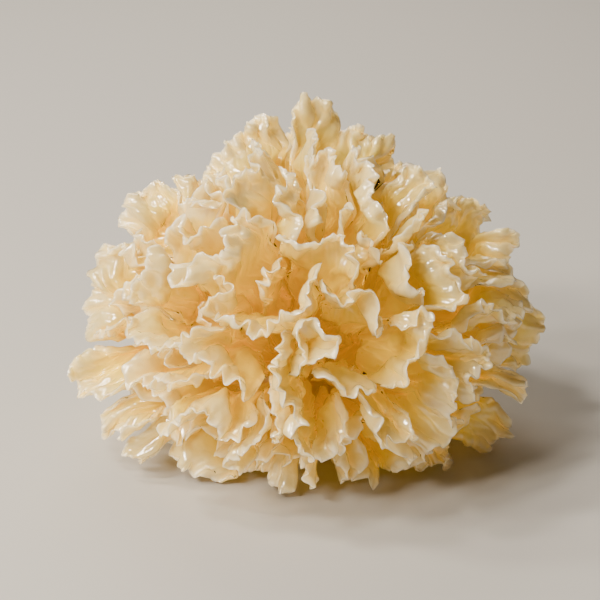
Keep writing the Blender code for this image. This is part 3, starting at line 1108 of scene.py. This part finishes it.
    def wall_shares(self, places: np.ndarray, depths: np.ndarray) -> np.ndarray:
        """How thick the wall is at every point, as a share of the full thickness.

        Args:
            places: the sheet's points.
            depths: distances below the rim.

        Returns:
            The shares: less at the rim and at the root, and in folds too tight for the full wall.
        """
        full = 1.0 - (1.0 - self.edge_wall) * np.exp(-depths / self.edge_fade)
        full -= (1.0 - self.root_wall) * depths / depths[0]
        cut = self.edge_roundness * np.maximum(0.0, 1.0 - depths / self.edge_depth) ** 2
        rounded = np.sqrt(1.0 - cut)
        shares = np.repeat((full * rounded)[None, :], len(places), axis=0)
        for axis in (0, 1):
            row = np.moveaxis(places, axis, 0)
            first, middle, last = row[:-2], row[1:-1], row[2:]
            before, after = middle - first, last - middle
            sides = [np.linalg.norm(side, axis=-1) for side in (before, after, last - first)]
            twice_area = np.linalg.norm(np.cross(before, after), axis=-1)
            radius = sides[0] * sides[1] * sides[2] / np.maximum(2.0 * twice_area, 1e-15)
            inner = np.moveaxis(shares, axis, 0)
            inner[1:-1] = np.minimum(inner[1:-1], self.fold_share * 2.0 * radius / self.thickness)
        tightest = shares.copy()
        for shift in (-1, 1):
            for axis in (0, 1):
                tightest = np.minimum(tightest, np.roll(shares, shift, axis=axis))
        return softened(np.maximum(tightest, self.thinnest), 1)

    def build(self, name: str) -> bpy.types.Object:
        """Models the sheet.

        Args:
            name: the piece's name.

        Returns:
            The finished piece.
        """
        places, height, depths = self.shape()
        count, rows = height.shape
        bpy.ops.object.select_all(action="DESELECT")
        bpy.ops.mesh.primitive_grid_add(x_subdivisions=rows - 1, y_subdivisions=count - 1, size=1.0)
        piece = bpy.context.active_object
        piece.name = name
        mesh = piece.data
        mesh.name = name
        mesh.vertices.foreach_set("co", places.reshape(-1))
        corners = np.zeros(len(mesh.loops), dtype=np.int32)
        mesh.loops.foreach_get("vertex_index", corners)
        # The frill map: X is the depth below the rim, for the rim band and its painted edge highlight; Y is
        # the height share, for the painted shade and glow.
        below = np.repeat(depths[None, :], count, axis=0) / self.chart_depth
        chart = np.stack((below, height), axis=-1).reshape(-1, 2)
        mesh.uv_layers.active.data.foreach_set("uv", chart[corners].reshape(-1).astype(np.float32))
        mesh.uv_layers.active.name = "frill"
        mesh.update()
        group = piece.vertex_groups.new(name="wall")
        for vertex, share in enumerate(self.wall_shares(places, depths).reshape(-1).tolist()):
            group.add((vertex,), share, "REPLACE")
        wall = piece.modifiers.new("thickness", "SOLIDIFY")
        wall.thickness = self.thickness
        wall.offset = 0.0
        wall.use_even_offset = False
        wall.vertex_group = group.name
        bpy.ops.object.modifier_apply(modifier=wall.name)
        bpy.ops.object.shade_smooth()
        return piece


def add_ramp(tree: bpy.types.NodeTree, share: bpy.types.NodeSocket, stops: Stops,
             target: bpy.types.NodeSocket) -> None:
    """Colours a socket by a share.

    Args:
        tree: the material's nodes.
        share: the share to read.
        stops: at least two shares and their colours.
        target: the socket to colour.
    """
    node = tree.nodes.new("ShaderNodeValToRGB")
    points = node.color_ramp.elements
    for number, (position, colour) in enumerate(stops):
        point = points[number] if number < 2 else points.new(position)
        point.position = position
        point.color = (*colour, 1.0)
    tree.links.new(share, node.inputs["Fac"])
    tree.links.new(node.outputs["Color"], target)


def add_noise(tree: bpy.types.NodeTree, vector: bpy.types.NodeSocket, scale: float,
              detail: float) -> bpy.types.NodeSocket:
    """Adds a noise texture.

    Args:
        tree: the material's nodes.
        vector: the coordinates to read.
        scale: how fine the noise is.
        detail: how many finer layers it has.

    Returns:
        The socket with its values.
    """
    texture = tree.nodes.new("ShaderNodeTexNoise")
    texture.inputs["Scale"].default_value = scale
    texture.inputs["Detail"].default_value = detail
    tree.links.new(vector, texture.inputs["Vector"])
    return texture.outputs["Fac"]


def add_bump(tree: bpy.types.NodeTree, height: bpy.types.NodeSocket, strength: float, distance: float,
             target: bpy.types.NodeSocket) -> None:
    """Adds a bump to a normal.

    Args:
        tree: the material's nodes.
        height: the height to read.
        strength: how much of it shows.
        distance: the height that the value 1 stands for.
        target: the normal's socket.
    """
    node = tree.nodes.new("ShaderNodeBump")
    node.inputs["Strength"].default_value = strength
    node.inputs["Distance"].default_value = distance
    tree.links.new(height, node.inputs["Height"])
    tree.links.new(node.outputs["Normal"], target)


@dataclass(frozen=True)
class FleshFinish:
    """Wet, translucent jelly: painted shade makes it a darker gold deep down and paler near the dome; it is
    whitish in a band below each rim, with a painted highlight at the very edge, and a painted glow lights the
    depths.

    The sheets' frill map gives, in X, the depth below the rim as a share of Sheet.chart_depth, which lays the
    rim band and its painted edge highlight, and, in Y, the height on the head as a share of the dome, which
    lays the painted shade and the painted glow.
    """

    name: str = "snow fungus flesh"
    # Painted shade: darker, deeper gold lower in the head, where shade falls and light has come through many
    # layers.
    stops: Stops = (
        (0.45, (0.79, 0.46, 0.024)),
        (0.75, (0.85, 0.55, 0.036)),
        (0.86, (0.88, 0.62, 0.068)),
        (0.95, (0.89, 0.68, 0.13)),
    )
    # The whitish rim band; at full strength right at the edge it is a painted highlight along the rim.
    rim_and_highlight_colour: Colour = (0.90, 0.79, 0.55)
    rim_and_highlight_shares: tuple[tuple[float, float], ...] = (
        (0.0, 1.0), (0.035, 0.88), (0.09, 0.52), (0.35, 0.40), (0.60, 0.14), (0.85, 0.0),
    )
    # Painted glow: an amber emission, strongest deep in the head, stands in for light that has come through
    # the jelly.
    glow: Stops = (
        (0.40, (0.62, 0.41, 0.020)),
        (0.80, (0.55, 0.37, 0.020)),
        (0.90, (0.24, 0.16, 0.011)),
        (0.97, (0.05, 0.03, 0.003)),
    )
    glow_strength: float = 0.18
    cloud_scale: float = 110.0
    cloud_swing: float = 0.12
    mist_scale: float = 420.0
    roughness: tuple[float, float] = (0.20, 0.42)
    grain_scale: float = 600.0
    grain_height: float = 0.14 * MM
    dimple_scale: float = 500.0
    dimple_height: float = 0.10 * MM
    scatter_radius: Colour = (1.0, 0.85, 0.50)
    scatter_scale: float = 2.2 * MM
    refraction: float = 1.38
    coat_roughness: float = 0.05
    coat_refraction: float = 2.0

    def make(self) -> bpy.types.Material:
        """Builds the material.

        Returns:
            The material, which reads the pieces' frill map and Object coordinates.
        """
        material = bpy.data.materials.new(self.name)
        material.use_nodes = True
        tree = material.node_tree
        shader = tree.nodes["Principled BSDF"]
        chart = tree.nodes.new("ShaderNodeUVMap")
        chart.uv_map = "frill"
        split = tree.nodes.new("ShaderNodeSeparateXYZ")
        tree.links.new(chart.outputs["UV"], split.inputs["Vector"])
        place = tree.nodes.new("ShaderNodeTexCoord")

        cloud = add_noise(tree, place.outputs["Object"], self.cloud_scale, 3.0)
        shift = tree.nodes.new("ShaderNodeMath")
        shift.operation = "MULTIPLY_ADD"
        shift.inputs[1].default_value = self.cloud_swing
        tree.links.new(cloud, shift.inputs[0])
        tree.links.new(split.outputs["Y"], shift.inputs[2])
        back = tree.nodes.new("ShaderNodeMath")
        back.operation = "SUBTRACT"
        back.inputs[1].default_value = self.cloud_swing / 2.0
        tree.links.new(shift.outputs["Value"], back.inputs[0])
        blend = tree.nodes.new("ShaderNodeMix")
        blend.data_type = "RGBA"
        factor, body, rim = (blend.inputs[number] for number in (0, 6, 7))
        # Painted shade: the colour darkens to deep gold lower in the head.
        add_ramp(tree, back.outputs["Value"], self.stops, body)
        # The whitish rim band by depth below the rim, full at the very edge as a painted highlight.
        shares = tuple((depth, (share, share, share)) for depth, share in self.rim_and_highlight_shares)
        add_ramp(tree, split.outputs["X"], shares, factor)
        rim.default_value = (*self.rim_and_highlight_colour, 1.0)
        tree.links.new(blend.outputs[2], shader.inputs["Base Color"])
        # Painted glow: emission by height, strongest deep in the head.
        add_ramp(tree, back.outputs["Value"], self.glow, shader.inputs["Emission Color"])
        shader.inputs["Emission Strength"].default_value = self.glow_strength

        polish = tree.nodes.new("ShaderNodeMapRange")
        polish.inputs["To Min"].default_value = self.roughness[0]
        polish.inputs["To Max"].default_value = self.roughness[1]
        tree.links.new(add_noise(tree, place.outputs["Object"], self.mist_scale, 2.0), polish.inputs["Value"])
        tree.links.new(polish.outputs["Result"], shader.inputs["Roughness"])

        grain = add_noise(tree, place.outputs["Object"], self.grain_scale, 4.0)
        add_bump(tree, grain, 1.0, self.grain_height, shader.inputs["Normal"])
        dimples = add_noise(tree, place.outputs["Object"], self.dimple_scale, 2.0)
        add_bump(tree, dimples, 1.0, self.dimple_height, shader.inputs["Coat Normal"])

        shader.subsurface_method = "BURLEY"
        shader.inputs["Subsurface Weight"].default_value = 1.0
        shader.inputs["Subsurface Radius"].default_value = self.scatter_radius
        shader.inputs["Subsurface Scale"].default_value = self.scatter_scale
        shader.inputs["IOR"].default_value = self.refraction
        shader.inputs["Coat Weight"].default_value = 1.0
        shader.inputs["Coat Roughness"].default_value = self.coat_roughness
        shader.inputs["Coat IOR"].default_value = self.coat_refraction
        return material


@dataclass(frozen=True)
class FootFinish:
    """The firm, dull amber of the base."""

    name: str = "snow fungus foot"
    blotches: Stops = ((0.35, (0.50, 0.26, 0.05)), (0.68, (0.72, 0.47, 0.14)))
    blotch_scale: float = 180.0
    fibre_scale: float = 900.0
    fibre_height: float = 0.4 * MM
    fibre_strength: float = 0.6
    # Painted glow: the base gives off a faint amber light of its own.
    glow: Colour = (0.60, 0.35, 0.05)
    glow_strength: float = 0.12
    roughness: float = 0.55
    scatter: float = 0.6
    scatter_radius: Colour = (1.0, 0.45, 0.2)
    scatter_scale: float = 1.5 * MM

    def make(self) -> bpy.types.Material:
        """Builds the material.

        Returns:
            The material, which reads Object coordinates.
        """
        material = bpy.data.materials.new(self.name)
        material.use_nodes = True
        tree = material.node_tree
        shader = tree.nodes["Principled BSDF"]
        place = tree.nodes.new("ShaderNodeTexCoord")
        blotch = add_noise(tree, place.outputs["Object"], self.blotch_scale, 5.0)
        add_ramp(tree, blotch, self.blotches, shader.inputs["Base Color"])
        fibre = add_noise(tree, place.outputs["Object"], self.fibre_scale, 4.0)
        add_bump(tree, fibre, self.fibre_strength, self.fibre_height, shader.inputs["Normal"])
        # Painted glow over the whole base.
        shader.inputs["Emission Color"].default_value = (*self.glow, 1.0)
        shader.inputs["Emission Strength"].default_value = self.glow_strength
        shader.inputs["Roughness"].default_value = self.roughness
        shader.inputs["Subsurface Weight"].default_value = self.scatter
        shader.inputs["Subsurface Radius"].default_value = self.scatter_radius
        shader.inputs["Subsurface Scale"].default_value = self.scatter_scale
        return material


@dataclass
class Head:
    """The whole head of fronds, on its base."""

    dome: Dome
    drape: Drape
    view: FrontView
    step: float = 0.29 * MM
    back_step: float = 0.45 * MM
    large_room: float = 6.0 * MM
    small_room: float = 5.0 * MM
    frill_rows: int = 14
    frill_root_share: float = 0.42
    frill_groups: int = 8
    large_seed: int = 100
    small_seed: int = 500

    def rims(self) -> list[Rim]:
        """Draws the large rims.

        Returns:
            One rim for each frond node, and those between them.
        """
        view = self.view
        rims = []
        for name, points in OUTLINE_RIMS.items():
            rims.append((name, Kind.OUTLINE, [view.outline_point(*point) for point in points]))
        for name, (lift, points) in FRONT_RIMS.items():
            rims.append((name, Kind.FRONT, [view.front_point(x, y, lift) for x, y in points]))
        for name, points in SKIRT_RIMS.items():
            rims.append((name, Kind.SKIRT, [view.skirt_point(*point) for point in points]))
        rows = BackRows(self.dome)
        for name, row in BACK_RIMS.items():
            rims.append((name, Kind.BACK, rows.rim(*row)))
        for name, (lift, points) in BETWEEN_RIMS.items():
            rims.append((name, Kind.BETWEEN, [view.front_point(x, y, lift) for x, y in points]))
        return [self.draped_rim(name, kind, np.array(points)) for name, kind, points in rims]

    def draped_rim(self, name: str, kind: Kind, points: np.ndarray) -> Rim:
        """Draws a rim through real places.

        Args:
            name: its name.
            kind: where it is on the head.
            points: the places, one a row.

        Returns:
            The rim, as it is before it drapes.
        """
        start = self.drape.undraped(self.dome.reach(points))
        return Rim(name, kind, smooth_line(start, self.back_step if kind is Kind.BACK else self.step))

    def build(self, flesh: bpy.types.Material, foot: bpy.types.Material) -> None:
        """Models every frond and frill and dresses the base.

        Args:
            flesh: the fronds' material.
            foot: the base's material.
        """
        crowding = Crowding()
        large = self.rims()
        grower = FrillGrower(self.dome, crowding, seed=11, starts=2200, least_room=3.0 * MM, lift=0.87)
        small = grower.grow(large, "frill")
        grower = FrillGrower(self.dome, crowding, seed=12, starts=3000, least_room=2.2 * MM, lift=0.72)
        small += grower.grow(large + small, "deep_frill")
        crowding.give_room(large, self.large_room)
        for number, rim in enumerate(large):
            sheet = Sheet(self.dome, self.drape, rim, seed=self.large_seed + number)
            piece = sheet.build(f"ruffled_{rim.name}")
            self.finish(piece, flesh)
            if rim.kind is not Kind.BETWEEN:
                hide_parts(f"frond_{rim.name}")
        crowding.give_room(large + small, self.small_room)
        LOG.info("%d small frills", len(small))
        built = []
        for number, rim in enumerate(small):
            sheet = Sheet(self.dome, self.drape, rim, rows=self.frill_rows, root_share=self.frill_root_share,
                          seed=self.small_seed + number)
            built.append(sheet.build(rim.name))
        for group in range(self.frill_groups):
            piece = joined(built[group::self.frill_groups], f"small_frills_{group + 1}")
            self.finish(piece, flesh)
        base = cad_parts["base"]
        base.data.materials.clear()
        base.data.materials.append(foot)

    @staticmethod
    def finish(piece: bpy.types.Object, material: bpy.types.Material) -> None:
        """Gives a piece its material and its place in the frame.

        Args:
            piece: the piece.
            material: its material.
        """
        piece.data.materials.clear()
        piece.data.materials.append(material)
        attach(piece, BODY)
        LOG.info("%s: %d faces", piece.name, len(piece.data.polygons))


def joined(members: list[bpy.types.Object], name: str) -> bpy.types.Object:
    """Joins several pieces into one.

    Args:
        members: the pieces.
        name: the new piece's name.

    Returns:
        The piece.
    """
    bpy.ops.object.select_all(action="DESELECT")
    for member in members:
        member.select_set(True)
    bpy.context.view_layer.objects.active = members[0]
    bpy.ops.object.join()
    piece = bpy.context.active_object
    piece.name = name
    piece.data.name = name
    return piece


@dataclass(frozen=True)
class SoftLight:
    """A square light: its name, where it stands from what it lights, its side, power and colour."""

    name: str
    way: tuple[float, float, float]
    size: float
    power: float
    colour: Colour

    def build(self, target: Vector) -> None:
        """Adds the light.

        Args:
            target: the place that it is set up from and points at.
        """
        data = bpy.data.lights.new(self.name, "AREA")
        data.size = self.size
        data.energy = self.power
        data.color = self.colour
        lamp = bpy.data.objects.new(self.name, data)
        lamp.location = target + Vector(self.way)
        lamp.rotation_euler = (target - lamp.location).to_track_quat("-Z", "Y").to_euler()
        bpy.context.scene.collection.objects.link(lamp)


@dataclass
class Studio:
    """The pale floor, the soft lights and the camera."""

    view: FrontView
    floor_size: float = 4.0
    floor_colour: Colour = (0.68, 0.66, 0.63)
    floor_roughness: float = 0.7
    air_colour: Colour = (0.95, 0.92, 0.88)
    air_strength: float = 0.055
    sensor: float = 36.0
    lens: float = 36.0 * 500.0 / 138.0
    key_size: float = 0.10
    key_power: float = 1.9
    key_colour: Colour = (1.0, 0.91, 0.78)
    key_ways: tuple[tuple[float, float, float], ...] = (
        (-0.62, -0.20, 0.50), (-0.45, -0.45, 0.45), (-0.70, -0.40, 0.20), (-0.35, -0.25, 0.70),
        (-0.66, 0.10, 0.50), (-0.34, -0.54, 0.48), (-0.42, 0.02, 0.72),
    )
    soft_lights: tuple[SoftLight, ...] = (
        SoftLight("fill", (0.70, -0.60, 0.28), 0.70, 0.06, (1.0, 0.90, 0.78)),
        SoftLight("rim", (-0.10, 0.60, 0.45), 0.45, 2.4, (1.0, 0.90, 0.76)),
    )

    def build(self) -> None:
        """Sets the studio up."""
        bpy.ops.object.select_all(action="DESELECT")
        bpy.ops.mesh.primitive_plane_add(size=self.floor_size)
        floor = bpy.context.active_object
        floor.name = "studio_floor"
        paint = bpy.data.materials.new("pale floor")
        paint.use_nodes = True
        shader = paint.node_tree.nodes["Principled BSDF"]
        shader.inputs["Base Color"].default_value = (*self.floor_colour, 1.0)
        shader.inputs["Roughness"].default_value = self.floor_roughness
        floor.data.materials.append(paint)
        target = Vector(self.view.target)
        for number, way in enumerate(self.key_ways):
            SoftLight(f"key_{number + 1}", way, self.key_size, self.key_power, self.key_colour).build(target)
        for light in self.soft_lights:
            light.build(target)
        world = bpy.data.worlds.new("studio air")
        world.use_nodes = True
        air = world.node_tree.nodes["Background"]
        air.inputs["Color"].default_value = (*self.air_colour, 1.0)
        air.inputs["Strength"].default_value = self.air_strength
        bpy.context.scene.world = world
        self.camera(target)

    def camera(self, target: Vector) -> None:
        """Adds the camera at the front view's eye.

        Args:
            target: the place that it points at.
        """
        data = bpy.data.cameras.new("front camera")
        data.lens = self.lens
        data.sensor_width = self.sensor
        data.clip_start = 0.01
        eye = Vector(self.view.eye)
        camera = bpy.data.objects.new("front_camera", data)
        camera.location = eye
        camera.rotation_euler = (target - eye).to_track_quat("-Z", "Y").to_euler()
        bpy.context.scene.collection.objects.link(camera)
        bpy.context.scene.camera = camera


def main() -> None:
    """Builds the head and the studio."""
    logging.basicConfig(level=logging.INFO, format="%(message)s")
    dome = Dome()
    view = FrontView(dome)
    Head(dome, Drape(dome), view).build(FleshFinish().make(), FootFinish().make())
    Studio(view).build()


if __name__ == "__main__":
    main()
